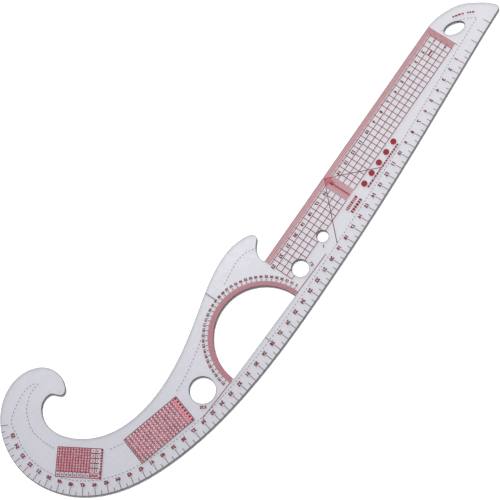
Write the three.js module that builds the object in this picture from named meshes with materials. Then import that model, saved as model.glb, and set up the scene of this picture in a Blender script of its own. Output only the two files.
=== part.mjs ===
// French curve: one flat sheet of clear plastic with a straight metric edge, a long
// bowed edge that runs on round a hooked curl, three round holes, a hang slot and a
// half-round protractor window. The scales are thin films of ink on its printed face.
// Millimetres. Design coordinates: x runs along the straight edge from its zero mark
// towards the curl, y points from the straight edge into the sheet, z is up through
// the sheet. The group at the end moves the middle of the sheet's box over the origin.
import * as THREE from 'three';

// ---- driving dimensions ----
const sheetThickness = 2.5;
const inkThickness = 0.05;
const straightLength = 230;

// Outline, counter-clockwise from the end of the straight edge: x, y and heading in
// degrees at each place where the curvature changes. Even curves join them.
const outlineStations = [
  [230, 0, -56],
  [228, -9, -124],
  [219.5, -14.8, -150],
  [217.7, -17.8, -80],
  [225.5, -24.5, -24],
  [261.5, -27, 9],
  [302, -17, 14],
  [346.5, -9.5, 3],
  [391, -15, -20],
  [422.5, -41, -62],
  [427.5, -59, -91],
  [420, -75, -142],
  [411.5, -78, -183],
  [405.5, -75.5, -235],
  [403.2, -70.2, -235],
  [400, -68.3, -178],
  [393.5, -73.5, -127],
  [390.5, -84, -89],
  [396, -97, -46],
  [419, -106, 2],
  [463, -69, 72],
  [461.3, -26.3, 110],
  [435.9, 7.8, 141],
  [398.2, 28.1, 159],
  [356.8, 40.1, 168],
  [314.4, 46.5, 174],
  [228, 50, 180],
  [98, 46.6, 183],
  [-42.5, 38.7, 182],
  [-46.3, 35.2, 280],
  [-38, 19.5, 304],
  [-22.5, 6, 335],
  [0, 0, 360],
];
const tipStation = 28;
const curlStation = 19;
const turnPerFacet = 4;
const longestFacet = 12;
const scaleFacets = 60;
const windowFacets = 52;
const slotFacets = 36;
const leastHoleFacets = 18;
const holeFacetsPerMillimetre = 1.5;
const leastTurn = 1e-4;

const buttonHoles = [
  { x: 188.8, y: 25.9, diameter: 9.4 },
  { x: 219.3, y: 25.9, diameter: 13.8 },
  { x: 338.3, y: 17.5, diameter: 20.5 },
];
const hangSlot = { x: -11, y: 17.8, length: 18, width: 9.6, tilt: -30 };
const protractor = { x: 278.5, y: 33.6, radius: 39.5, tilt: -2 };
const degreeCentre = { x: 278.8, y: 33.4 };
const degreeSpineRadius = 40.1;
const degreeTickEnd = 45.4;

const lineWidth = 0.35;
const widestLine = 1.5 * lineWidth;
const spineWidth = 0.2;
const spineInset = 0.55;
const millimetreTick = 4.7;
const endBandWidth = 4;
const gridPitch = 5;
const gridRows = 4;
const gridFirstLine = 5.5;
const gridTop = gridFirstLine + gridRows * gridPitch + lineWidth / 2;
const centreMark = { x: 150, halfWidth: 5, apex: 1.1, shoulder: 6.4 };
const tickFreeHalfWidth = 3.5;
const gridClearance = 0.7;
const holeClearance = 0.5;
const rays = [
  { name: 'centre_ray_zero_side', from: 25.8, to: 32, direction: -1 },
  { name: 'centre_ray_fin_side', from: 25.8, to: 37.5, direction: 1 },
];

const outerZero = 42.5;
const outerLast = 56;
const outerLongTick = 6.5;
const outerShortTick = 4;
const outerPlainTicks = 3;

const angleStep = 5;

const guides = [
  { name: 'guide_line_upper', from: [199, 36.1], to: [238, 34.9] },
  { name: 'guide_line_lower', from: [320, 31.8], to: [356, 29.8] },
];
const notchMarks = [
  { name: 'fin_balance_mark', from: [276.4, -23], to: [276.4, -14.6] },
  { name: 'window_centre_mark', from: [278.8, 34.2], to: [278.8, 39.3] },
];
const largeTable = { x: 381.1, y: 7.7, length: 50.6, width: 22.5, tilt: -15.5, header: 5, rows: 10 };
const smallTable = { x: 435.1, y: -27.8, length: 34.4, width: 22, tilt: -58.4, header: 6, rows: 8 };

// ---- materials ----
const clearPlastic = new THREE.MeshStandardMaterial({
  color: 0xd9d8df,
  roughness: 0.12,
  metalness: 0,
});
const maroonInk = new THREE.MeshStandardMaterial({
  color: 0x6a1f33,
  roughness: 0.55,
  metalness: 0,
});

// ---- plane geometry helpers ----
const radians = (degrees) => (degrees * Math.PI) / 180;

function unit(degrees) {
  return new THREE.Vector2(Math.cos(radians(degrees)), Math.sin(radians(degrees)));
}

// An even curve from one station to the next: the handle length is the one that gives
// a circular arc when the two headings allow it.
function spanCurve(from, to) {
  const start = new THREE.Vector2(from[0], from[1]);
  const end = new THREE.Vector2(to[0], to[1]);
  const turn = Math.max(radians(Math.abs(to[2] - from[2])), leastTurn);
  const handle = (start.distanceTo(end) * 2 * Math.tan(turn / 4)) / (3 * Math.sin(turn / 2));
  const startHandle = start.clone().addScaledVector(unit(from[2]), handle);
  const endHandle = end.clone().addScaledVector(unit(to[2]), -handle);
  return new THREE.CubicBezierCurve(start, startHandle, endHandle, end);
}

// Headings grow or shrink by less than half a turn from one station to the next.
function unwrapHeadings(stations) {
  const result = [stations[0].slice()];
  for (const station of stations.slice(1)) {
    const previous = result[result.length - 1][2];
    const turns = Math.round((previous - station[2]) / 360);
    result.push([station[0], station[1], station[2] + 360 * turns]);
  }
  return result;
}

function spanPoints(from, to, facets) {
  return spanCurve(from, to).getPoints(facets).slice(1);
}

function stationPoints(stations) {
  const points = [new THREE.Vector2(stations[0][0], stations[0][1])];
  for (let i = 1; i < stations.length; i += 1) {
    const from = stations[i - 1];
    const to = stations[i];
    const length = Math.hypot(to[0] - from[0], to[1] - from[1]);
    const byTurn = Math.abs(to[2] - from[2]) / turnPerFacet;
    const facets = Math.ceil(Math.max(byTurn, length / longestFacet, 2));
    points.push(...spanPoints(from, to, facets));
  }
  return points;
}

function ellipsePath(x, y, radiusX, radiusY, tilt, facets) {
  const ellipse = new THREE.EllipseCurve(x, y, radiusX, radiusY, 0, 2 * Math.PI, true, radians(tilt));
  return new THREE.Path(ellipse.getPoints(facets).slice(0, -1));
}

// The window: the half circle below its centre, closed by its diameter.
function windowPath() {
  const { x, y, radius, tilt } = protractor;
  const arc = new THREE.EllipseCurve(
    x, y, radius, radius, radians(tilt), radians(tilt - 180), true, 0);
  return new THREE.Path(arc.getPoints(windowFacets));
}

// Distances along a curve, and a walk: the point at distance u along it and depth to
// the left of its direction of travel.
function walkAlong(points) {
  const distances = [0];
  for (let i = 1; i < points.length; i += 1) {
    distances.push(distances[i - 1] + points[i].distanceTo(points[i - 1]));
  }
  const total = distances[distances.length - 1];
  const walk = (u, depth) => {
    let i = 1;
    while (i < points.length - 1 && distances[i] < u) {
      i += 1;
    }
    const along = points[i].clone().sub(points[i - 1]).normalize();
    const foot = points[i - 1].clone().addScaledVector(along, u - distances[i - 1]);
    return foot.add(new THREE.Vector2(-along.y, along.x).multiplyScalar(depth)).toArray();
  };
  return { total, walk };
}

// ---- solid helpers ----
function extrude(shape, thickness, base) {
  const geometry = new THREE.ExtrudeGeometry(shape, { depth: thickness, bevelEnabled: false });
  geometry.translate(0, 0, base);
  return geometry;
}

function inkFilm(shape) {
  return extrude(shape, inkThickness, sheetThickness);
}

// A printed line between two points, as a box that lies on the sheet.
function inkLine(from, to) {
  const start = new THREE.Vector2(...from);
  const end = new THREE.Vector2(...to);
  const geometry = new THREE.BoxGeometry(start.distanceTo(end), lineWidth, inkThickness);
  geometry.rotateZ(end.clone().sub(start).angle());
  const middle = start.add(end).multiplyScalar(0.5);
  geometry.translate(middle.x, middle.y, sheetThickness + inkThickness / 2);
  return geometry;
}

const lineEdges = (centre) => [centre - lineWidth / 2, centre + lineWidth / 2];

// A lattice of printed lines as one film. xs and ys are the edges of the lines across
// and along it, so a narrow step between two of them is a line and a wide one a gap.
// keep(left, right, bottom, top) may leave single stretches of line out, and
// bend(x, y) may lay the lattice along a curve.
function latticeFilm(xs, ys, keep = () => true, bend = (x, y) => [x, y]) {
  const narrow = (edges, k) => edges[k + 1] - edges[k] < widestLine;
  const printed = (i, j) => {
    const inside = i >= 0 && j >= 0 && i < xs.length - 1 && j < ys.length - 1;
    return inside && (narrow(xs, i) || narrow(ys, j)) && keep(xs[i], xs[i + 1], ys[j], ys[j + 1]);
  };
  const low = sheetThickness;
  const high = sheetThickness + inkThickness;
  const positions = [];
  const quad = (a, b, c, d) => positions.push(...a, ...b, ...c, ...a, ...c, ...d);
  const wall = (a, b) => quad([...a, low], [...b, low], [...b, high], [...a, high]);
  const cell = (i, j) => {
    const southWest = bend(xs[i], ys[j]);
    const southEast = bend(xs[i + 1], ys[j]);
    const northEast = bend(xs[i + 1], ys[j + 1]);
    const northWest = bend(xs[i], ys[j + 1]);
    const ring = [southWest, southEast, northEast, northWest];
    quad(...ring.map((corner) => [...corner, high]));
    quad(...ring.map((corner) => [...corner, low]).reverse());
    const neighbours = [[i, j - 1], [i + 1, j], [i, j + 1], [i - 1, j]];
    neighbours.forEach(([column, row], side) => {
      if (!printed(column, row)) {
        wall(ring[side], ring[(side + 1) % 4]);
      }
    });
  };
  for (let i = 0; i < xs.length - 1; i += 1) {
    for (let j = 0; j < ys.length - 1; j += 1) {
      if (printed(i, j)) {
        cell(i, j);
      }
    }
  }
  const geometry = new THREE.BufferGeometry();
  geometry.setAttribute('position', new THREE.Float32BufferAttribute(positions, 3));
  geometry.computeVertexNormals();
  return geometry;
}

// ---- sub-parts ----
const stations = unwrapHeadings(outlineStations);

function curvePlate() {
  const shape = new THREE.Shape(stationPoints(stations));
  for (const hole of buttonHoles) {
    const facets = Math.ceil(leastHoleFacets + hole.diameter * holeFacetsPerMillimetre);
    shape.holes.push(ellipsePath(hole.x, hole.y, hole.diameter / 2, hole.diameter / 2, 0, facets));
  }
  const { x, y, length, width, tilt } = hangSlot;
  shape.holes.push(ellipsePath(x, y, length / 2, width / 2, tilt, slotFacets));
  shape.holes.push(windowPath());
  return extrude(shape, sheetThickness, 0);
}

// Millimetre ticks of the straight edge on a fine spine, with room for the centre arrow.
function straightScale() {
  const xs = [];
  for (let at = gridPitch; at <= straightLength; at += 1) {
    xs.push(...lineEdges(at));
  }
  const ys = [spineInset, spineInset + spineWidth, millimetreTick];
  const keep = (left, right, bottom) => {
    const away = Math.abs((left + right) / 2 - centreMark.x);
    return bottom < spineInset + spineWidth || away > tickFreeHalfWidth;
  };
  return latticeFilm(xs, ys, keep);
}

// The band at the zero end: millimetre lines right across the grid's width.
function endBand() {
  const xs = [];
  for (let at = 0; at <= endBandWidth; at += 1) {
    xs.push(...lineEdges(at));
  }
  return latticeFilm(xs, [spineInset, spineInset + spineWidth, gridTop]);
}

// One part of the seam grid, its cross lines from firstX to lastX. Its long lines run on
// to openX beside the centre mark. In the row of numbers the cross lines at whole
// centimetres are left out, and the lines stop short of the button holes.
function seamGrid(firstX, lastX, openX) {
  const xs = [openX];
  for (let x = firstX; x <= lastX; x += gridPitch) {
    xs.push(...lineEdges(x));
  }
  xs.sort((a, b) => a - b);
  const ys = [];
  for (let row = 0; row <= gridRows; row += 1) {
    ys.push(...lineEdges(gridFirstLine + row * gridPitch));
  }
  const inNumberRow = (y) => y > gridFirstLine && y < gridFirstLine + gridPitch;
  const nearHole = (left, right, bottom, top) => buttonHoles.some((hole) => {
    const awayX = Math.max(left - hole.x, hole.x - right, 0);
    const awayY = Math.max(bottom - hole.y, hole.y - top, 0);
    return Math.hypot(awayX, awayY) < hole.diameter / 2 + holeClearance;
  });
  const keep = (left, right, bottom, top) => {
    const x = (left + right) / 2;
    const wholeCentimetre = Math.abs(x - 10 * Math.round(x / 10)) < lineWidth;
    const numbered = wholeCentimetre && inNumberRow((bottom + top) / 2);
    return !numbered && !nearHole(left, right, bottom, top);
  };
  return latticeFilm(xs, ys, keep);
}

// A 45 degree line that comes out of the arrow's apex, from where it leaves the grid.
function centreRay({ from, to, direction }) {
  const { x, apex } = centreMark;
  return inkLine([x + direction * from, apex + from], [x + direction * to, apex + to]);
}

// The mark at the middle of a 30 cm sheet: an arrowhead that points at the edge, with a
// band of eleven lines running back from it across the grid.
function centreArrow() {
  const { x, halfWidth, apex, shoulder } = centreMark;
  const edge = halfWidth + lineWidth / 2;
  const points = [new THREE.Vector2(x, apex), new THREE.Vector2(x + edge, shoulder)];
  for (let at = halfWidth; at >= -halfWidth; at -= 1) {
    const half = at === 0 ? lineWidth : lineWidth / 2;
    if (at < halfWidth) {
      points.push(new THREE.Vector2(x + at + half, shoulder));
    }
    points.push(new THREE.Vector2(x + at + half, gridTop), new THREE.Vector2(x + at - half, gridTop));
    points.push(new THREE.Vector2(x + at - half, shoulder));
  }
  return inkFilm(new THREE.Shape(points));
}

// Centimetre and half-centimetre ticks along the bowed edge and round the curl. The
// outline is walked from the curl to the tip, so the scale's zero is near its far end.
function outerScale() {
  const edge = stations.slice(curlStation, tipStation + 1);
  const points = [new THREE.Vector2(edge[0][0], edge[0][1])];
  for (let i = 1; i < edge.length; i += 1) {
    points.push(...spanPoints(edge[i - 1], edge[i], scaleFacets));
  }
  const { total, walk } = walkAlong(points);
  const xs = [];
  const shortTicks = [];
  for (let half = 2 * outerLast; half >= -2 * outerPlainTicks; half -= 1) {
    const at = total - outerZero - 5 * half;
    const whole = half % 2 === 0;
    if (whole || half > 0) {
      xs.push(...lineEdges(at));
    }
    if (!whole) {
      shortTicks.push(at);
    }
  }
  const ys = [spineInset, spineInset + spineWidth, outerShortTick, outerLongTick];
  const keep = (left, right, bottom) => {
    const onShortTick = shortTicks.some((at) => at > left && at < right);
    return bottom < outerShortTick || !onShortTick;
  };
  return latticeFilm(xs, ys, keep, walk);
}

// Five-degree ticks round the outside of the window, as seen from above clockwise from
// its curl side to its fin side. They are centred on the window's chord.
function protractorScale() {
  const { x, y } = degreeCentre;
  const bend = (u, depth) => {
    const ray = unit(protractor.tilt - (u / degreeSpineRadius) * (180 / Math.PI));
    ray.multiplyScalar(degreeSpineRadius + depth);
    return [x + ray.x, y + ray.y];
  };
  const xs = [];
  for (let angle = angleStep; angle < 180; angle += angleStep) {
    xs.push(...lineEdges(radians(angle) * degreeSpineRadius));
  }
  return latticeFilm(xs, [0, spineWidth, degreeTickEnd - degreeSpineRadius], () => true, bend);
}

// A ruled table: a frame with a header column and row lines, as one film.
function ruledTable({ x, y, length, width, tilt, header, rows }) {
  const xs = [-length / 2, header - length / 2, length / 2].flatMap(lineEdges);
  const ys = [];
  for (let row = 0; row <= rows; row += 1) {
    ys.push(...lineEdges((row / rows - 0.5) * width));
  }
  const geometry = latticeFilm(xs, ys);
  geometry.rotateZ(radians(tilt));
  return geometry.translate(x, y, 0);
}

// ---- assembly ----
const sheet = new THREE.Group();

function add(name, geometry, material) {
  const mesh = new THREE.Mesh(geometry, material);
  mesh.name = name;
  sheet.add(mesh);
}

const markReach = centreMark.halfWidth + gridClearance;
const zeroSide = centreMark.x - markReach;
const finSide = centreMark.x + markReach;
add('curve_plate', curvePlate(), clearPlastic);
add('straight_edge_scale', straightScale(), maroonInk);
add('zero_end_band', endBand(), maroonInk);
add('seam_grid_zero_end', seamGrid(gridPitch, centreMark.x - 2 * gridPitch, zeroSide), maroonInk);
add('seam_grid_fin_end', seamGrid(centreMark.x + 2 * gridPitch, straightLength, finSide), maroonInk);
for (const ray of rays) {
  add(ray.name, centreRay(ray), maroonInk);
}
add('centre_mark', centreArrow(), maroonInk);
add('outer_edge_scale', outerScale(), maroonInk);
add('protractor_scale', protractorScale(), maroonInk);
for (const line of [...guides, ...notchMarks]) {
  add(line.name, inkLine(line.from, line.to), maroonInk);
}
add('large_table', ruledTable(largeTable), maroonInk);
add('small_table', ruledTable(smallTable), maroonInk);

const box = new THREE.Box3().setFromObject(sheet);
const middle = box.getCenter(new THREE.Vector3());
sheet.position.set(-middle.x, -middle.y, 0);
const frenchCurve = new THREE.Group();
frenchCurve.add(sheet);

export default frenchCurve;
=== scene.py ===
"""French curve: the look of the sheet and everything printed on it.

The CAD frame holds the sheet and its larger printed lines. This script gives the sheet a
rounded rim and a clear, faintly lavender plastic, and adds the print that is too fine for
the frame: numbers, dashed seam lines, one-degree ticks, table cells and plain generic
marks. Design coordinates s and t are millimetres from the zero mark of the straight edge:
s runs along that edge towards the curl, and t points from it into the sheet.
"""
import math
import random

import bmesh
import bpy
from mathutils import Matrix, Vector


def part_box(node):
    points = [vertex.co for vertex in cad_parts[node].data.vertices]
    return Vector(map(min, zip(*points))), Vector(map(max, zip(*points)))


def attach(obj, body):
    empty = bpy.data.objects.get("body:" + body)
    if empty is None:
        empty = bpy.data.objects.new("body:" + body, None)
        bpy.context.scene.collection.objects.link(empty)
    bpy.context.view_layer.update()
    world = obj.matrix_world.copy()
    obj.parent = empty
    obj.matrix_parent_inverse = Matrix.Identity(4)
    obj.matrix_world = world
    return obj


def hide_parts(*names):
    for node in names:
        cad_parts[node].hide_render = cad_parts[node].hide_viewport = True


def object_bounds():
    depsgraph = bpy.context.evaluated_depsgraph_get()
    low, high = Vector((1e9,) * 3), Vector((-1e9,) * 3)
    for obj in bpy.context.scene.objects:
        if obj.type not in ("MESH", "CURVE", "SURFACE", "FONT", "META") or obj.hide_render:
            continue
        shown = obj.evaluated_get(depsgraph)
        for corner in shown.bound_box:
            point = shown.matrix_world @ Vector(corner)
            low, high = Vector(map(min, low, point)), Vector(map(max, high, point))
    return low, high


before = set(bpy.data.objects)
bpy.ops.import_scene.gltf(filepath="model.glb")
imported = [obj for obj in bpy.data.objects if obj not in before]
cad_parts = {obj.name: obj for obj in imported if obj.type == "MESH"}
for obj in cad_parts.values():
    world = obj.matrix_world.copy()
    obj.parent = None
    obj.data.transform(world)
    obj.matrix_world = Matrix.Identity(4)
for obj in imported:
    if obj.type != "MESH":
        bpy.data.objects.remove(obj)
cad_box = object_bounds()

# ---- meshes ----
# LEVEL is the least upright share of a level face's normal. The figures' weight is a share
# of the font's size, and their weld a share of their height.
LEVEL = 0.999
FIGURE_WEIGHT = 0.065
FIGURE_WELD = 1e-5
RIM_SEGMENTS = 3
SHEET_SLOT, RIM_SLOT, PINK_RIM_SLOT = range(3)

# ---- sizes in millimetres and angles in degrees ----
MM = 0.001
INK_THICKNESS = 0.05
TINT_THICKNESS = 0.02
LAYER_STEP = 0.002
RIM_RADIUS = 0.3
WELD_DISTANCE = 0.01
SAME_PLANE_ANGLE = 0.5
CAD_LINE = 0.35
CAD_SPINE_INSET = 0.55

FINE_LINE = 0.45
GRID_LINE = 0.6
BAND_LINE = 0.6
CENTRE_BAND_LINE = 0.52
RAY_LINE = 0.6

CENTIMETRE = 10
STRAIGHT_LENGTH = 230
STRAIGHT_TICK_WIDTH = 0.52
STRAIGHT_TICK_START = 0.35
STRAIGHT_LONG_TICK = 5.3
STRAIGHT_SHORT_TICK = 4.6
SHORTEST_TICK = 0.3
STRAIGHT_NUMBER_HEIGHT = 3.0
STRAIGHT_NUMBER_DEPTH = 8.1
CENTRE_NUMBER_DEPTH = 8.3
CENTRE_NUMBER_LOW = 0.03
CENTRE_NUMBER_HIGH = 0.07

GRID_PITCH = 5
GRID_ROWS = (5.5, 10.5, 15.5, 20.5, 25.5)
GRID_START = 4.3
ROW_NUMBER_AT = 7
ROW_NUMBER_HEIGHT = 1.9
ZERO_LINE_AT = -0.1
ZERO_LINE_ENDS = (0.4, 27.5)
ZERO_LINE = 0.5
END_BAND_WIDTH = 4
BAND_TOP = 25.7

CENTRE_MARK = 150
ARROW_APEX = 1.1
ARROW_SHOULDER = 6.4
ARROW_HALF_WIDTH = 5.2
ARROW_SLOPE = (ARROW_SHOULDER - ARROW_APEX) / ARROW_HALF_WIDTH
ARROW_CLEARANCE = 0.7
TICKS_CUT_BY_ARROW = 6
GRID_CLEARANCE = 5.4
RAY_START = 5.6
RAY_REACHES = ((-1, 32), (1, 37.5))

BUTTON_HOLES = ((188.8, 25.9, 9.4), (219.3, 25.9, 13.8))
HOLE_MARGIN = 0.3
HOLE_NUMBER_HEIGHT = 2.5
HOLE_NUMBERS = (
    ("1", (195, 31.1), -56),
    ("1.5", (211.8, 31.4), 59),
    ("0.75", (348.6, 25.4), -50))

TIP_STATION = (-42.5, 38.7)
CURL_STATION = (419, -106)
OUTER_ZERO = 42.5
OUTER_LAST = 56
OUTER_PLAIN_TICKS = 3
HALF_CENTIMETRE = 5
OUTER_TICK_START = 0.4
OUTER_LONG_TICK = 5.9
OUTER_SHORT_TICK = 3.2
OUTER_NUMBER_DEPTH = 8.0
OUTER_NUMBER_HEIGHT = 3.1

WINDOW_CENTRE = (278.5, 33.6)
WINDOW_RADIUS = 39.5
WINDOW_TOLERANCE = 0.5
DEGREE_CENTRE = (278.8, 33.4)
DEGREE_TILT = -2.2
DEGREE_INSET = 0.32
DEGREE_LONG_TICK_STEP = 5
LAST_DEGREE = 179
DEGREE_TICK_END = 43.5
DEGREE_LONG_TICK_END = 45.2
DEGREE_NUMBER_RADIUS = 46.8
DEGREE_NUMBER_HEIGHT = 2.3
LONG_NUMBER_NARROWING = 0.8
DEGREE_TICK_WIDTH = 0.32
DEGREE_BAND_WIDTH = 0.38
DEGREE_LONG_TICK_WIDTH = 0.52

DASH = 1.5
DASH_PITCH = 2.95
DASH_WIDTH = 0.45
SEAM_DEPTH = 11.1
SEAM_STEP = 3
SEAM_START_S = -28
SEAM_END_GAP = 40

GUIDE_LINES = (((199, 36.1), (238, 34.9)), ((320, 31.8), (356, 29.8)))
WINDOW_MARK = ((278.7, 34.0), (278.8, 39.3))
BALANCE_AT = 276.4
BALANCE_ENDS = (-23, -14.6)
BALANCE_RUNGS = 5
BALANCE_FIRST_RUNG = -22.6
BALANCE_RUNG_PITCH = 1.8
BALANCE_HALF_RUNG = 0.8

OVAL_COUNT = 5
OVAL_START = 95
OVAL_PITCH = 10.25
OVAL_ROW = 29.5
OVAL_HALF_SIZES = (2.6, 2.4)
OVAL_CAPTION = ((94.5, 33.5), (137, 33.5))
OVAL_CAPTION_HEIGHT = 1.5
CAPTION_ROWS = (30.0, 34.2)
CAPTION_ENDS = (147.6, 162)
CAPTION_HEIGHT = 2.4
TIP_CAPTION = (
    ((-31.3, 23.7), (-26.5, 18.3)),
    ((-25.5, 17.5), (-24.3, 16.3)),
    ((-23.8, 15.8), (-17.8, 11.7)))
TIP_CAPTION_HEIGHT = 1.4
STRIP_CAPTION = ((15, 13.4), (20, 13.4))
STRIP_CAPTION_HEIGHT = 1.3
BLOCK_LENGTHS = (0.9, 2.4)
BLOCK_GAP = 0.55
SHORTEST_BLOCK = 0.8

TABLE_BORDER = 0.6
SMALL_HEADER = 2.2
SMALL_COLUMNS = (3.0, 3.5)
SMALL_ROW_START = 7.1
SMALL_RULE = 0.5

SEED = 11

# The lower left corner of the zero band's first line is half a line and the spine's
# inset away from the zero of the design coordinates.
zero_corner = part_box("zero_end_band")[0]
ORIGIN = Vector((zero_corner.x + CAD_LINE / 2 * MM, zero_corner.y - CAD_SPINE_INSET * MM, 0))
SHEET_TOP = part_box("curve_plate")[1].z


def place(s, t, height=0.0):
    """A design point in the frame's metres, height millimetres above the printed face."""
    return Vector((ORIGIN.x + s * MM, ORIGIN.y + t * MM, SHEET_TOP + height * MM))


def heading(degrees):
    return Vector((math.cos(math.radians(degrees)), math.sin(math.radians(degrees))))


# ---- camera: a metre above the curl's side of the sheet, just outside the bowed edge ----
CAMERA_AT = (371.4, 166.7, 1021.4)
CAMERA_AZIMUTH = 49.313
CAMERA_ELEVATION = 75.296
CAMERA_ROLL = -15.01
CAMERA_LENS = 97.36
CAMERA_SENSOR = 36
CAMERA_SHIFT = (-0.001, -0.099)


def rotation(degrees, axis):
    return Matrix.Rotation(math.radians(degrees), 4, axis)


def add_camera():
    data = bpy.data.cameras.new("camera")
    data.sensor_width = CAMERA_SENSOR
    data.lens = CAMERA_LENS
    data.shift_x, data.shift_y = CAMERA_SHIFT
    data.clip_start = 0.05
    data.clip_end = 20
    camera = bpy.data.objects.new("camera", data)
    bpy.context.collection.objects.link(camera)
    turn = (rotation(CAMERA_AZIMUTH + 90, "Z") @ rotation(90 - CAMERA_ELEVATION, "X")
            @ rotation(CAMERA_ROLL, "Z"))
    camera.matrix_world = Matrix.Translation(place(*CAMERA_AT)) @ turn
    bpy.context.scene.camera = camera


# ---- materials ----
PLASTIC_IOR = 1.49
INK_IOR = 1.35


def new_material(name):
    material = bpy.data.materials.new(name)
    material.use_nodes = True
    tree = material.node_tree
    return material, tree, tree.nodes["Principled BSDF"]


def link(tree, source, target):
    tree.links.new(source, target)


def noise(tree, scale, detail=3.0, stretch=(1, 1, 1), turn=0.0):
    """Noise in object space, stretched and turned to give grain a direction."""
    coordinates = tree.nodes.new("ShaderNodeTexCoord")
    mapping = tree.nodes.new("ShaderNodeMapping")
    mapping.inputs["Scale"].default_value = stretch
    mapping.inputs["Rotation"].default_value = (0, 0, turn)
    texture = tree.nodes.new("ShaderNodeTexNoise")
    texture.inputs["Scale"].default_value = scale
    texture.inputs["Detail"].default_value = detail
    link(tree, coordinates.outputs["Object"], mapping.inputs["Vector"])
    link(tree, mapping.outputs["Vector"], texture.inputs["Vector"])
    return texture.outputs["Fac"]


def ramp(tree, value, stops):
    """A colour ramp over value: stops are (position, colour) pairs."""
    node = tree.nodes.new("ShaderNodeValToRGB")
    elements = node.color_ramp.elements
    while len(elements) < len(stops):
        elements.new(0.5)
    for element, (position, colour) in zip(elements, stops):
        element.position = position
        element.color = (*colour, 1)
    link(tree, value, node.inputs["Fac"])
    return node.outputs["Color"]


def span(tree, value, low, high, to_low, to_high):
    """value's range from low to high, carried over to the range from to_low to to_high."""
    node = tree.nodes.new("ShaderNodeMapRange")
    node.inputs["From Min"].default_value = low
    node.inputs["From Max"].default_value = high
    node.inputs["To Min"].default_value = to_low
    node.inputs["To Max"].default_value = to_high
    link(tree, value, node.inputs["Value"])
    return node.outputs["Result"]


def multiply(tree, first, second):
    node = tree.nodes.new("ShaderNodeMix")
    node.data_type = "RGBA"
    node.blend_type = "MULTIPLY"
    node.inputs["Factor"].default_value = 1.0
    link(tree, first, node.inputs["A"])
    link(tree, second, node.inputs["B"])
    return node.outputs["Result"]


def bump(tree, shader, height, strength, distance):
    node = tree.nodes.new("ShaderNodeBump")
    node.inputs["Strength"].default_value = strength
    node.inputs["Distance"].default_value = distance
    link(tree, height, node.inputs["Height"])
    link(tree, node.outputs["Normal"], shader.inputs["Normal"])


def along_sheet(tree):
    """0 at the tip end of the sheet and 1 at the curl."""
    coordinates = tree.nodes.new("ShaderNodeTexCoord")
    split = tree.nodes.new("ShaderNodeSeparateXYZ")
    link(tree, coordinates.outputs["Object"], split.inputs["Vector"])
    low, high = cad_box
    return span(tree, split.outputs["X"], low.x, high.x, 0, 1)


def sheet_material():
    """Clear plastic with a faint lavender body: a little haze, fine scratches and gloss. The
    body colour darkens from the tip end to the curl, a painted shade for the light falling off
    across the sheet.
    """
    material, tree, shader = new_material("clear_lavender_plastic_painted_shade")
    # Painted shade: the body is lightest at the tip end and darkest at the curl, standing in for
    # how the light falls across the sheet.
    body = ramp(tree, along_sheet(tree), [
        (0.0, (0.70, 0.69, 0.735)),
        (0.55, (0.64, 0.635, 0.685)),
        (1.0, (0.55, 0.545, 0.60)),
    ])
    haze = ramp(tree, noise(tree, 14, 4), [(0.3, (0.98, 0.98, 0.985)), (0.7, (1, 1, 1))])
    grain = noise(tree, 900, 2, stretch=(0.06, 1, 1), turn=0.5)
    streaks = ramp(tree, grain, [(0.35, (0.97, 0.97, 0.975)), (0.65, (1, 1, 1))])
    painted_shade_and_haze = multiply(tree, body, haze)
    link(tree, multiply(tree, painted_shade_and_haze, streaks), shader.inputs["Base Color"])
    link(tree, span(tree, noise(tree, 260, 4), 0.3, 0.7, 0.15, 0.21), shader.inputs["Roughness"])
    bump(tree, shader, noise(tree, 900, 2), 0.02, 0.0001)
    shader.inputs["IOR"].default_value = PLASTIC_IOR
    shader.inputs["Alpha"].default_value = 0.6
    material.surface_render_method = "BLENDED"
    return material


def rim_material(name, dark, light):
    """A cut and polished rim, painted dark: the colour is painted shade for the dark look that
    light refracted inside the clear sheet gives its edges.
    """
    material, tree, shader = new_material(name)
    lines = noise(tree, 500, 3, stretch=(1, 1, 0.05))
    colour = ramp(tree, lines, [(0.3, dark), (0.7, light)])
    link(tree, colour, shader.inputs["Base Color"])
    link(tree, span(tree, lines, 0.3, 0.7, 0.15, 0.4), shader.inputs["Roughness"])
    bump(tree, shader, lines, 0.1, 0.0002)
    shader.inputs["IOR"].default_value = PLASTIC_IOR
    shader.inputs["Alpha"].default_value = 0.95
    material.surface_render_method = "BLENDED"
    return material


def ink_material(name, thin, full):
    """Screen-printed ink: slightly uneven cover between a thin and a full colour."""
    material, tree, shader = new_material(name)
    cover = noise(tree, 700, 4)
    link(tree, ramp(tree, cover, [(0.3, full), (0.75, thin)]), shader.inputs["Base Color"])
    link(tree, span(tree, cover, 0.3, 0.7, 0.5, 0.7), shader.inputs["Roughness"])
    bump(tree, shader, noise(tree, 2600, 2), 0.2, 0.00002)
    shader.inputs["IOR"].default_value = INK_IOR
    return material


def floor_material():
    material, tree, shader = new_material("pale_floor")
    tone = ramp(tree, noise(tree, 3, 2), [(0.3, (0.93, 0.93, 0.93)), (0.7, (0.95, 0.95, 0.95))])
    link(tree, tone, shader.inputs["Base Color"])
    shader.inputs["Roughness"].default_value = 0.9
    return material


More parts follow.
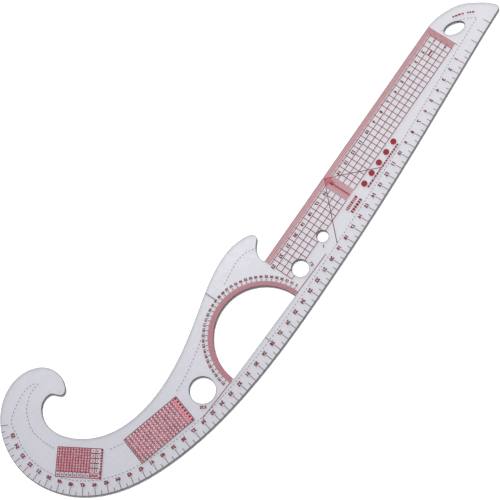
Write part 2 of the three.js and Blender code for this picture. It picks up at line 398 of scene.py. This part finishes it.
SHEET = sheet_material()
# Painted shade: the clear plastic's rims are coloured near-black to stand in for their dark look
# under the light.
PAINTED_SHADE_RIM = rim_material("rim_painted_shade", (0.05, 0.05, 0.055), (0.10, 0.10, 0.11))
# Painted reflection and shade: the rim round the window's arc is painted a dark pink, standing
# in for the red scale seen in the dark edge.
PAINTED_PINK_REFLECTION_RIM = rim_material("rim_painted_pink_reflection", (0.12, 0.04, 0.052), (0.22, 0.085, 0.105))
RED = ink_material("red_ink", (0.35, 0.008, 0.022), (0.20, 0.004, 0.011))
CRIMSON = ink_material("crimson_ink", (0.26, 0.002, 0.007), (0.14, 0.001, 0.004))
MAROON = ink_material("maroon_ink", (0.21, 0.006, 0.016), (0.12, 0.003, 0.008))
WINE = ink_material("wine_ink", (0.155, 0.0055, 0.014), (0.08, 0.003, 0.007))
DARK = ink_material("dark_ink", (0.12, 0.005, 0.013), (0.055, 0.002, 0.006))
GREY = ink_material("grey_ink", (0.12, 0.10, 0.12), (0.06, 0.05, 0.06))
ROSE = ink_material("rose_ink", (0.58, 0.24, 0.29), (0.42, 0.155, 0.195))
BRICK = ink_material("brick_ink", (0.38, 0.11, 0.145), (0.26, 0.06, 0.085))
PINK = ink_material("pink_ink", (0.33, 0.195, 0.225), (0.26, 0.15, 0.175))


# ---- the sheet ----
def is_level(face):
    return abs(face.normal.z) > LEVEL


def on_window_arc(face):
    """Whether a rim face belongs to the window's round side, which the red scale lines. Those
    faces get the rim painted dark pink, a painted reflection of the scale in painted shade.
    """
    middle = face.calc_center_median()
    s, t = (middle.x - ORIGIN.x) / MM, (middle.y - ORIGIN.y) / MM
    away = math.hypot(s - WINDOW_CENTRE[0], t - WINDOW_CENTRE[1])
    return t < WINDOW_CENTRE[1] and abs(away - WINDOW_RADIUS) < WINDOW_TOLERANCE


def rounded_sheet():
    """The CAD sheet with its flat facets joined and its rims rounded."""
    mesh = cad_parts["curve_plate"].data.copy()
    mesh.name = "clear_sheet"
    mesh.materials.clear()
    for material in (SHEET, PAINTED_SHADE_RIM, PAINTED_PINK_REFLECTION_RIM):
        mesh.materials.append(material)
    bm = bmesh.new()
    bm.from_mesh(mesh)
    bmesh.ops.remove_doubles(bm, verts=bm.verts, dist=WELD_DISTANCE * MM)
    bmesh.ops.dissolve_limit(
        bm, angle_limit=math.radians(SAME_PLANE_ANGLE), verts=bm.verts, edges=bm.edges)
    rims = [edge for edge in bm.edges
            if sum(is_level(face) for face in edge.link_faces) == 1]
    bmesh.ops.bevel(bm, geom=rims, offset=RIM_RADIUS * MM, offset_type="OFFSET",
                    segments=RIM_SEGMENTS, profile=0.5, affect="EDGES")
    for face in bm.faces:
        face.smooth = not is_level(face)
        # Rim faces take the rim materials painted dark as shade; on the window's arc the shade
        # carries a painted reflection of the red scale.
        if face.smooth:
            face.material_index = PINK_RIM_SLOT if on_window_arc(face) else RIM_SLOT
        else:
            face.material_index = SHEET_SLOT
    bm.to_mesh(mesh)
    bm.free()
    sheet = bpy.data.objects.new("clear_sheet", mesh)
    bpy.context.collection.objects.link(sheet)
    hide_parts("curve_plate")
    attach(sheet, "root")


# ---- print ----
class Print:
    """Marks printed in one ink, gathered into one mesh of thin closed solids."""

    def __init__(self, name, material, low=0.0, high=INK_THICKNESS):
        self.name = name
        self.material = material
        self.low = low
        self.high = high
        self.bm = bmesh.new()

    def next_layer(self):
        """Marks from here on lie a hair higher, so that crossing marks share no plane."""
        self.low += LAYER_STEP
        self.high += LAYER_STEP

    def polygon(self, points):
        """points are (s, t) pairs, counter-clockwise from above."""
        low = [self.bm.verts.new(place(s, t, self.low)) for s, t in points]
        high = [self.bm.verts.new(place(s, t, self.high)) for s, t in points]
        self.bm.faces.new(high)
        self.bm.faces.new(reversed(low))
        for i in range(len(points)):
            j = (i + 1) % len(points)
            self.bm.faces.new((low[i], low[j], high[j], high[i]))

    def bar(self, start, end, width=FINE_LINE):
        start, end = Vector(start), Vector(end)
        side = (end - start).normalized().orthogonal() * (width / 2)
        self.polygon([start - side, end - side, end + side, start + side])

    def disc(self, centre, half_length, half_width, direction, sides=20):
        """A solid round or oval mark."""
        along, across = heading(direction), heading(direction + 90)
        turns = [heading(360 * k / sides) for k in range(sides)]
        self.polygon([Vector(centre) + along * (half_length * a) + across * (half_width * b)
                      for a, b in turns])

    def number(self, text, centre, direction, height, narrow=1.0):
        """A number centred on centre. The print is read from the sheet's other face, so
        from this face its figures are mirrored, with their tops to the right of direction.
        narrow scales the width of the figures."""
        along = heading(direction)
        up = heading(direction - 90)
        turn = Matrix((
            (along.x, up.x, 0, 0),
            (along.y, up.y, 0, 0),
            (0, 0, 1, 0),
            (0, 0, 0, 1)))
        width = height * narrow
        thickness = self.high - self.low
        size = Matrix.Diagonal((width * MM, height * MM, thickness * MM, 1))
        move = Matrix.Translation(place(*centre, self.low))
        glyphs = figure_mesh(text).copy()
        glyphs.transform(move @ turn @ size)
        glyphs.flip_normals()
        self.bm.from_mesh(glyphs)
        bpy.data.meshes.remove(glyphs)

    def finish(self, *replaced):
        mesh = bpy.data.meshes.new(self.name)
        self.bm.to_mesh(mesh)
        self.bm.free()
        mesh.materials.append(self.material)
        piece = bpy.data.objects.new(self.name, mesh)
        bpy.context.collection.objects.link(piece)
        if replaced:
            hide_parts(*replaced)
        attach(piece, "root")


figure_meshes = {}


def figure_mesh(text):
    """A number as a closed mesh: figures one unit high and one unit thick, centred."""
    if text not in figure_meshes:
        curve = bpy.data.curves.new("figures", "FONT")
        curve.body = text
        curve.resolution_u = 2
        curve.offset = FIGURE_WEIGHT
        curve.extrude = 0.5
        holder = bpy.data.objects.new("figures", curve)
        bpy.context.collection.objects.link(holder)
        graph = bpy.context.evaluated_depsgraph_get()
        mesh = bpy.data.meshes.new_from_object(holder.evaluated_get(graph))
        bpy.data.objects.remove(holder)
        bpy.data.curves.remove(curve)
        xs = [v.co.x for v in mesh.vertices]
        ys = [v.co.y for v in mesh.vertices]
        height = max(ys) - min(ys)
        middle = Vector(((min(xs) + max(xs)) / 2, (min(ys) + max(ys)) / 2, -0.5))
        fit = Matrix.Diagonal((1 / height, 1 / height, 1, 1))
        mesh.transform(fit @ Matrix.Translation(-middle))
        merged = bmesh.new()
        merged.from_mesh(mesh)
        bmesh.ops.remove_doubles(merged, verts=merged.verts, dist=FIGURE_WELD)
        merged.to_mesh(mesh)
        merged.free()
        mesh.materials.clear()
        figure_meshes[text] = mesh
    return figure_meshes[text]


# ---- lines that follow the sheet's edges ----
def nearest(places, target):
    """The key whose place is closest to the target."""
    return min(places, key=lambda key: (places[key] - Vector(target)).length)


def outer_edge():
    """The bowed edge as points in design coordinates, from the tip corner to the curl."""
    bm = bmesh.new()
    bm.from_mesh(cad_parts["curve_plate"].data)
    bmesh.ops.remove_doubles(bm, verts=bm.verts, dist=WELD_DISTANCE * MM)
    bm.normal_update()
    follows = {}
    for edge in bm.edges:
        if min(vert.co.z for vert in edge.verts) < SHEET_TOP / 2:
            continue
        tops = [face for face in edge.link_faces if face.normal.z > LEVEL]
        if len(edge.link_faces) != 2 or len(tops) != 1:
            continue
        loop = next(l for l in edge.link_loops if l.face == tops[0])
        follows[loop.vert] = loop.link_loop_next.vert
    design = {v: Vector(((v.co.x - ORIGIN.x) / MM, (v.co.y - ORIGIN.y) / MM)) for v in follows}
    vert = nearest(design, CURL_STATION)
    last = nearest(design, TIP_STATION)
    points = [design[vert]]
    while vert != last:
        vert = follows[vert]
        points.append(design[vert])
    bm.free()
    return points[::-1]


class Walk:
    """Distances along a row of points, with the inside of the sheet to the right."""

    def __init__(self, points):
        self.points = [Vector(p) for p in points]
        self.marks = [0.0]
        for a, b in zip(self.points, self.points[1:]):
            self.marks.append(self.marks[-1] + (b - a).length)
        self.length = self.marks[-1]

    def at(self, distance):
        k = 1
        while k < len(self.marks) - 1 and self.marks[k] < distance:
            k += 1
        a, b = self.points[k - 1], self.points[k]
        return a + (b - a).normalized() * (distance - self.marks[k - 1])

    def direction(self, distance, reach=4.0):
        ahead = self.at(min(distance + reach, self.length))
        return ahead - self.at(max(distance - reach, 0.0))

    def inside(self, distance, depth):
        along = self.direction(distance).normalized()
        return self.at(distance) + Vector((along.y, -along.x)) * depth

    def angle(self, distance):
        along = self.direction(distance)
        return math.degrees(math.atan2(along.y, along.x))


def smooth_path(points, steps=12):
    """An even curve through the points, each stretch a cubic with the tangents of its
    neighbours."""
    knots = [Vector(p) for p in points]
    ends = [2 * knots[0] - knots[1], *knots, 2 * knots[-1] - knots[-2]]
    path = [knots[0]]
    for before, a, b, after in zip(ends, ends[1:], ends[2:], ends[3:]):
        for k in range(1, steps + 1):
            u = k / steps
            path.append(0.5 * (
                2 * a + (b - before) * u
                + (2 * before - 5 * a + 4 * b - after) * u ** 2
                + (3 * a - before - 3 * b + after) * u ** 3))
    return path


def dash_along(ink, points):
    walk = Walk(points)
    at = 0.0
    while at + DASH < walk.length:
        ink.bar(walk.at(at), walk.at(at + DASH), DASH_WIDTH)
        at += DASH_PITCH


EDGE = Walk(outer_edge())


# ---- what is printed ----
def straight_scale():
    """Millimetre ticks, cut short where the arrowhead is."""
    ink = Print("straight_edge_ticks", RED)
    for s in range(GRID_PITCH, STRAIGHT_LENGTH + 1):
        end = STRAIGHT_SHORT_TICK if s % GRID_PITCH else STRAIGHT_LONG_TICK
        away = abs(s - CENTRE_MARK)
        if away < TICKS_CUT_BY_ARROW:
            end = min(end, ARROW_APEX + (away - ARROW_CLEARANCE) * ARROW_SLOPE)
        if end > STRAIGHT_TICK_START + SHORTEST_TICK:
            ink.bar((s, STRAIGHT_TICK_START), (s, end), STRAIGHT_TICK_WIDTH)
    ink.finish("straight_edge_scale")


def straight_numbers():
    """Centimetre numbers along the straight edge, and two up the strip at its zero end."""
    ink = Print("straight_edge_numbers", WINE)
    for s in range(CENTIMETRE, STRAIGHT_LENGTH + 1, CENTIMETRE):
        if s != CENTRE_MARK:
            ink.number(str(s // CENTIMETRE), (s, STRAIGHT_NUMBER_DEPTH), 0,
                       STRAIGHT_NUMBER_HEIGHT)
    for text, row in (("1", GRID_ROWS[1]), ("2", GRID_ROWS[3])):
        ink.number(text, (ROW_NUMBER_AT, row), 0, ROW_NUMBER_HEIGHT)
    ink.finish()
    middle = Print("centre_number", MAROON, low=CENTRE_NUMBER_LOW, high=CENTRE_NUMBER_HIGH)
    middle.number(str(CENTRE_MARK // CENTIMETRE), (CENTRE_MARK, CENTRE_NUMBER_DEPTH), 0,
                  STRAIGHT_NUMBER_HEIGHT)
    middle.finish()


def end_band():
    """The millimetre lines across the strip at its zero end."""
    ink = Print("zero_band_lines", RED)
    for s in range(END_BAND_WIDTH + 1):
        ink.bar((s, CAD_SPINE_INSET), (s, BAND_TOP), BAND_LINE)
    ink.finish("zero_end_band")


def centre_arrow():
    """An arrowhead that points at the edge, and the band of lines that runs back from it."""
    left = Vector((CENTRE_MARK - ARROW_HALF_WIDTH, ARROW_SHOULDER))
    right = Vector((CENTRE_MARK + ARROW_HALF_WIDTH, ARROW_SHOULDER))
    apex = Vector((CENTRE_MARK, ARROW_APEX))
    head = Print("centre_arrow_head", BRICK, high=TINT_THICKNESS)
    head.polygon([left, apex, right])
    head.finish()
    ink = Print("centre_arrow_lines", RED)
    ink.bar(left, apex, BAND_LINE)
    ink.next_layer()
    ink.bar(apex, right, BAND_LINE)
    ink.next_layer()
    for offset in range(-GRID_PITCH, GRID_PITCH + 1):
        s = CENTRE_MARK + offset
        width = CENTRE_BAND_LINE if offset else 2 * CENTRE_BAND_LINE
        ink.bar((s, ARROW_SHOULDER), (s, BAND_TOP), width)
    ink.finish("centre_mark")


def clipped_bar(ink, start, end):
    """A grid line that stops short of the button holes."""
    start, end = Vector(start), Vector(end)
    along = (end - start).normalized()
    pieces = [(0.0, (end - start).length)]
    for s, t, diameter in BUTTON_HOLES:
        offset = Vector((s, t)) - start
        middle = offset.dot(along)
        aside = abs(offset.x * along.y - offset.y * along.x)
        reach = diameter / 2 + HOLE_MARGIN
        if aside >= reach:
            continue
        half = math.sqrt(reach ** 2 - aside ** 2)
        cut = []
        for low, high in pieces:
            cut += [(low, min(high, middle - half)), (max(low, middle + half), high)]
        pieces = [(low, high) for low, high in cut if high - low > HOLE_MARGIN]
    for low, high in pieces:
        ink.bar(start + along * low, start + along * high, GRID_LINE)


def seam_grid():
    """The 5 mm grid of the strip, with the numbers' row kept clear."""
    ink = Print("seam_grid_lines", MAROON)
    for row in GRID_ROWS:
        clipped_bar(ink, (GRID_START, row), (CENTRE_MARK - GRID_CLEARANCE, row))
        clipped_bar(ink, (CENTRE_MARK + GRID_CLEARANCE, row), (STRAIGHT_LENGTH, row))
    ink.next_layer()
    for s in range(GRID_PITCH, STRAIGHT_LENGTH + 1, GRID_PITCH):
        if abs(s - CENTRE_MARK) > GRID_PITCH:
            start = GRID_ROWS[0] if s % CENTIMETRE else GRID_ROWS[1]
            clipped_bar(ink, (s, start), (s, GRID_ROWS[-1]))
    low, high = ZERO_LINE_ENDS
    ink.bar((ZERO_LINE_AT, low), (ZERO_LINE_AT, high), ZERO_LINE)
    ink.finish("seam_grid_zero_end", "seam_grid_fin_end")


def centre_rays():
    """The two lines at 45 degrees that leave the arrow's point."""
    ink = Print("centre_rays", DARK)
    ink.next_layer()
    ink.next_layer()
    for side, reach in RAY_REACHES:
        foot = (CENTRE_MARK + side * RAY_START, ARROW_APEX + RAY_START)
        end = (CENTRE_MARK + side * reach, ARROW_APEX + reach)
        ink.bar(foot, end, RAY_LINE)
    ink.finish("centre_ray_zero_side", "centre_ray_fin_side")


def outer_scale():
    """Half-centimetre ticks along the bowed edge and round the curl, every second one
    longer and numbered."""
    ticks = Print("outer_edge_ticks", DARK)
    numbers = Print("outer_edge_numbers", WINE)
    for half in range(-2 * OUTER_PLAIN_TICKS, 2 * OUTER_LAST + 1):
        at = OUTER_ZERO + HALF_CENTIMETRE * half
        whole = half % 2 == 0
        if half > 0 or whole:
            depth = OUTER_LONG_TICK if whole else OUTER_SHORT_TICK
            ticks.bar(EDGE.inside(at, OUTER_TICK_START), EDGE.inside(at, depth), FINE_LINE)
        if whole and 0 < half < 2 * OUTER_LAST:
            numbers.number(str(half // 2), EDGE.inside(at, OUTER_NUMBER_DEPTH),
                           EDGE.angle(at), OUTER_NUMBER_HEIGHT)
    ticks.finish("outer_edge_scale")
    numbers.finish()


def window_edge(ray):
    """How far the window's rim is from the centre of the degree scale along a ray."""
    offset = Vector(WINDOW_CENTRE) - Vector(DEGREE_CENTRE)
    along = offset.dot(ray)
    return along + math.sqrt(WINDOW_RADIUS ** 2 - offset.length_squared + along ** 2)


def protractor():
    """Degree ticks on a pink band round the window, every fifth one longer and numbered."""
    band = Print("protractor_band", PINK, high=TINT_THICKNESS)
    ticks = Print("protractor_ticks", BRICK)
    long_ticks = Print("protractor_long_ticks", DARK)
    numbers = Print("protractor_numbers", WINE)
    centre = Vector(DEGREE_CENTRE)
    for degree in range(1, LAST_DEGREE + 1):
        angle = DEGREE_TILT - 180 + degree
        ray = heading(angle)
        start = window_edge(ray) + DEGREE_INSET
        ticks.bar(centre + ray * start, centre + ray * DEGREE_TICK_END, DEGREE_TICK_WIDTH)
        if degree < LAST_DEGREE:
            gap = heading(angle + 0.5)
            band.bar(centre + gap * start, centre + gap * DEGREE_TICK_END, DEGREE_BAND_WIDTH)
        if degree % DEGREE_LONG_TICK_STEP == 0:
            long_ticks.bar(centre + ray * DEGREE_TICK_END, centre + ray * DEGREE_LONG_TICK_END,
                           DEGREE_LONG_TICK_WIDTH)
            narrow = 1.0 if degree < 100 else LONG_NUMBER_NARROWING
            numbers.number(str(degree), centre + ray * DEGREE_NUMBER_RADIUS, angle + 90,
                           DEGREE_NUMBER_HEIGHT, narrow)
    band.finish()
    ticks.finish("protractor_scale")
    long_ticks.finish()
    numbers.finish()


def seam_dashes():
    """Dashed seam lines: a long one at a fixed depth inside the bowed edge, which turns round
    inside the curl, and short ones through stations of their own."""
    ink = Print("seam_dashes", GREY)
    first = next(d for d in range(int(EDGE.length))
                 if EDGE.inside(d, SEAM_DEPTH).x > SEAM_START_S)
    last = int(EDGE.length) - SEAM_END_GAP
    outer = [EDGE.inside(d, SEAM_DEPTH) for d in range(first, last, SEAM_STEP)]
    round_curl = [(441, -88), (432, -92.2), (419, -94.3), (411, -93.5), (405, -90)]
    dash_along(ink, outer + smooth_path([outer[-1], *round_curl])[1:])
    at_tip = [(-28, 27.5), (-21, 19.5), (-12, 13.5), (-2, 10.5)]
    in_fin = [(227, -12.5), (235, -16.5), (245, -17.5), (264, -15)]
    under_window = [(308, -5.3), (323.7, -1.6), (333.5, 0.2), (342, 1.4), (350.5, 1.9)]
    between_tables = [(405, -9), (415, -15)]
    in_hook = [(437.5, -50), (438, -60), (436.5, -71), (431, -80), (425, -85.5),
               (415, -89.5), (404, -89)]
    for stations in (at_tip, in_fin, under_window, between_tables, in_hook):
        dash_along(ink, smooth_path(stations))
    ink.finish()


def hole_numbers():
    """The diameter in centimetres beside each button hole."""
    ink = Print("hole_numbers", WINE)
    for text, centre, direction in HOLE_NUMBERS:
        ink.number(text, centre, direction, HOLE_NUMBER_HEIGHT)
    ink.finish()


def block_row(ink, draw, start, end, height):
    """A row of blocks of uneven length."""
    start, end = Vector(start), Vector(end)
    along = (end - start).normalized()
    length = (end - start).length
    at = 0.0
    while at < length - SHORTEST_BLOCK:
        block = min(draw.uniform(*BLOCK_LENGTHS), length - at)
        ink.bar(start + along * at, start + along * (at + block), height)
        at += block + BLOCK_GAP


def generic_marks():
    """Plain marks where the sheet carries lettering: ovals, and rows of blocks."""
    draw = random.Random(SEED)
    ovals = Print("generic_oval_marks", CRIMSON)
    for k in range(OVAL_COUNT):
        ovals.disc((OVAL_START + OVAL_PITCH * k, OVAL_ROW), *OVAL_HALF_SIZES, 0)
    block_row(ovals, draw, *OVAL_CAPTION, OVAL_CAPTION_HEIGHT)
    ovals.finish()
    blocks = Print("generic_block_marks", CRIMSON)
    start, end = CAPTION_ENDS
    for row in CAPTION_ROWS:
        block_row(blocks, draw, (start, row), (end, row), CAPTION_HEIGHT)
    for word in TIP_CAPTION:
        block_row(blocks, draw, *word, TIP_CAPTION_HEIGHT)
    blocks.bar(*STRIP_CAPTION, STRIP_CAPTION_HEIGHT)
    blocks.finish()


def long_marks():
    """The two solid guide lines and the two marks on the window's middle line."""
    lines = Print("guide_lines", MAROON)
    lines.next_layer()
    for start, end in GUIDE_LINES:
        lines.bar(start, end, GRID_LINE)
    lines.finish("guide_line_upper", "guide_line_lower")
    marks = Print("middle_marks", GREY)
    marks.bar(*WINDOW_MARK, GRID_LINE)
    low, high = BALANCE_ENDS
    marks.bar((BALANCE_AT, low), (BALANCE_AT, high), FINE_LINE)
    marks.next_layer()
    left = BALANCE_AT - BALANCE_HALF_RUNG
    right = BALANCE_AT + BALANCE_HALF_RUNG
    for k in range(BALANCE_RUNGS):
        t = BALANCE_FIRST_RUNG + BALANCE_RUNG_PITCH * k
        marks.bar((left, t), (right, t), FINE_LINE)
    marks.finish("fin_balance_mark", "window_centre_mark")


class Table:
    """A printed table in its own frame: u along its length, v across it, from its middle."""

    def __init__(self, centre, length, width, tilt):
        self.centre = Vector(centre)
        self.tilt = tilt
        self.u = heading(tilt)
        self.v = heading(tilt + 90)
        self.left = -length / 2
        self.right = length / 2
        self.bottom = -width / 2
        self.top = width / 2

    def at(self, u, v):
        return self.centre + self.u * u + self.v * v

    def block(self, ink, u0, u1, v0, v1):
        ink.polygon([self.at(u0, v0), self.at(u1, v0), self.at(u1, v1), self.at(u0, v1)])

    def line(self, ink, u0, v0, u1, v1, width):
        ink.bar(self.at(u0, v0), self.at(u1, v1), width)

    def number(self, ink, value, u, v, height):
        ink.number(str(value), self.at(u, v), self.tilt, height)

    def border(self, ink):
        ink.next_layer()
        for v in (self.bottom, self.top):
            self.line(ink, self.left, v, self.right, v, TABLE_BORDER)
        ink.next_layer()
        for u in (self.left, self.right):
            self.line(ink, u, self.bottom, u, self.top, TABLE_BORDER)


def large_table():
    """A header column with large figures, then rows of small ruled cells."""
    table = Table(centre=(381.1, 7.7), length=50.6, width=22.5, tilt=-15.5)
    rows = 10
    columns = 16
    header = 4.6
    gutter = 0.5
    discs = 8
    disc_pitch = 2.87
    header_figure = 1.4
    cell_figure = 1.3
    tint_ends = (1.1, 2.3)
    rule_widths = (0.25, 0.45)
    cells_start = table.left + header
    height = (table.top - table.bottom) / rows
    width = (table.right - cells_start) / columns

    draw = random.Random(SEED + 1)
    tint = Print("large_table_tint", ROSE, high=TINT_THICKNESS)
    figures = Print("large_table_figures", DARK, low=TINT_THICKNESS)
    table.block(tint, table.left, cells_start, table.bottom, table.top)
    for k in range(discs):
        disc_at = table.at(table.left + 1.4, table.bottom + 1.2 + disc_pitch * k)
        figures.disc(disc_at, 1.0, 0.85, table.tilt, 12)
    for row in range(rows):
        v = table.bottom + row * height
        low = v + gutter if row else table.bottom
        high = v + height - gutter if row < rows - 1 else table.top
        middle = v + height / 2
        table.number(figures, draw.randint(1, 9), table.left + 3.5, middle, header_figure)
        if row:
            table.block(tint, cells_start, table.right, v - gutter, v + gutter)
        for column in range(columns):
            u = cells_start + column * width
            table.block(tint, u + 0.3, u + draw.uniform(*tint_ends), low, high)
            table.number(figures, draw.randint(1, 99), u + width / 2, middle, cell_figure)
            if row:
                table.line(figures, u, v, u + width, v, draw.choice(rule_widths))
    tint.finish()
    table.border(figures)
    figures.finish("large_table")


def uneven_header(table, lines, draw):
    """Blocks of uneven length down the table's left end."""
    blocks = 11
    pitch = (table.top - table.bottom) / blocks
    gap = 0.3
    ends = (1.2, 1.9)
    for k in range(blocks):
        v = table.bottom + pitch * k
        table.block(lines, table.left + gap, table.left + draw.uniform(*ends),
                    v + gap, v + pitch - gap)


def open_columns(table, lines, draw, start):
    """Two columns of open cells, ruled heavily between their numbers."""
    rows = 5
    rule = 0.9
    figure = 1.6
    height = (SMALL_ROW_START - table.bottom) / rows
    for width in SMALL_COLUMNS:
        for row in range(rows):
            v = table.bottom + row * height
            if row:
                table.line(lines, start, v, start + width, v, rule)
            table.number(lines, draw.randint(1, 9), start + width / 2, v + height / 2, figure)
        start += width


def open_row(table, lines, draw, start):
    """A row of open cells along the table's upper side."""
    cells = 8
    middle = 9.4
    figure = 1.4
    width = (table.right - start) / cells
    for cell in range(cells):
        table.number(lines, draw.randint(10, 99), start + (cell + 0.5) * width, middle, figure)
    lines.next_layer()
    for cell in range(cells):
        u = start + cell * width
        table.line(lines, u, SMALL_ROW_START, u, table.top, SMALL_RULE)


def dotted_corner(table, tint, figures, start, end):
    """The tinted corner above the open columns, with small dots."""
    margin = 0.9
    dots = 4
    pitch = 1.55
    lower_row = 8.4
    rise = 1.4
    table.block(tint, start, end, SMALL_ROW_START + margin, table.top - margin)
    for k in range(dots):
        dot_at = table.at(start + margin + pitch * k, lower_row + rise * (k % 2))
        figures.disc(dot_at, 0.45, 0.5, table.tilt, 10)


def dense_block(table, tint, figures, draw, start):
    """Tinted cells packed with figures."""
    rows = 9
    columns = 12
    gaps = (0.3, 1.2)
    figure = 1.5
    height = (SMALL_ROW_START - table.bottom) / rows
    width = (table.right - start) / columns
    for row in range(rows):
        v = table.bottom + row * height
        middle = v + height / 2
        for column in range(columns):
            u = start + column * width
            rise = height / 4 * (column % 2)
            table.block(tint, u, u + width, middle, v + height)
            table.block(tint, u, u + width - draw.uniform(*gaps), v, middle)
            table.number(figures, draw.randint(1, 9), u + 0.8, middle + rise, figure)


def small_table():
    """A dark header, two columns and one row of open cells, and a dense block of figures."""
    table = Table(centre=(435.1, -27.8), length=34.4, width=22, tilt=-58.4)
    columns_start = table.left + SMALL_HEADER
    block_start = columns_start + sum(SMALL_COLUMNS)
    column_rule = columns_start + SMALL_COLUMNS[0]
    draw = random.Random(SEED + 2)
    tint = Print("small_table_tint", BRICK, high=TINT_THICKNESS)
    figures = Print("small_table_figures", DARK, low=TINT_THICKNESS)
    lines = Print("small_table_lines", MAROON)

    uneven_header(table, lines, draw)
    open_columns(table, lines, draw, columns_start)
    open_row(table, lines, draw, block_start)
    table.line(lines, column_rule, table.bottom, column_rule, SMALL_ROW_START, TABLE_BORDER)
    lines.next_layer()
    table.line(lines, table.left, SMALL_ROW_START, table.right, SMALL_ROW_START, SMALL_RULE)
    dotted_corner(table, tint, figures, columns_start, block_start)
    dense_block(table, tint, figures, draw, block_start)
    tint.finish()
    figures.finish()
    table.border(lines)
    lines.finish("small_table")


# ---- floor and light, in metres and watts ----
FLOOR_HALF = 6.0
FLOOR_HEIGHT = -0.0003
SKY_STRENGTH = 0.34
LAMP_AT = Vector((-0.35, -0.95, 2.2))
LAMP_SIDE = 0.6
LAMP_POWER = 72


def add_floor():
    mesh = bpy.data.meshes.new("floor")
    corners = [(x * FLOOR_HALF, y * FLOOR_HALF, FLOOR_HEIGHT)
               for x, y in ((-1, -1), (1, -1), (1, 1), (-1, 1))]
    mesh.from_pydata(corners, [], [(0, 1, 2, 3)])
    mesh.materials.append(floor_material())
    floor = bpy.data.objects.new("floor", mesh)
    bpy.context.collection.objects.link(floor)


def add_lights():
    world = bpy.data.worlds.new("soft_white")
    world.use_nodes = True
    background = world.node_tree.nodes["Background"]
    background.inputs["Color"].default_value = (1, 1, 1, 1)
    background.inputs["Strength"].default_value = SKY_STRENGTH
    bpy.context.scene.world = world

    data = bpy.data.lights.new("softbox", "AREA")
    data.shape = "SQUARE"
    data.size = LAMP_SIDE
    data.energy = LAMP_POWER
    lamp = bpy.data.objects.new("softbox", data)
    bpy.context.collection.objects.link(lamp)
    lamp.location = LAMP_AT
    lamp.rotation_mode = "QUATERNION"
    lamp.rotation_quaternion = (-LAMP_AT).to_track_quat("-Z", "Y")


add_camera()
rounded_sheet()
straight_scale()
straight_numbers()
end_band()
centre_arrow()
seam_grid()
centre_rays()
outer_scale()
protractor()
seam_dashes()
hole_numbers()
generic_marks()
long_marks()
large_table()
small_table()
add_floor()
add_lights()
bpy.context.scene.view_settings.view_transform = "Standard"
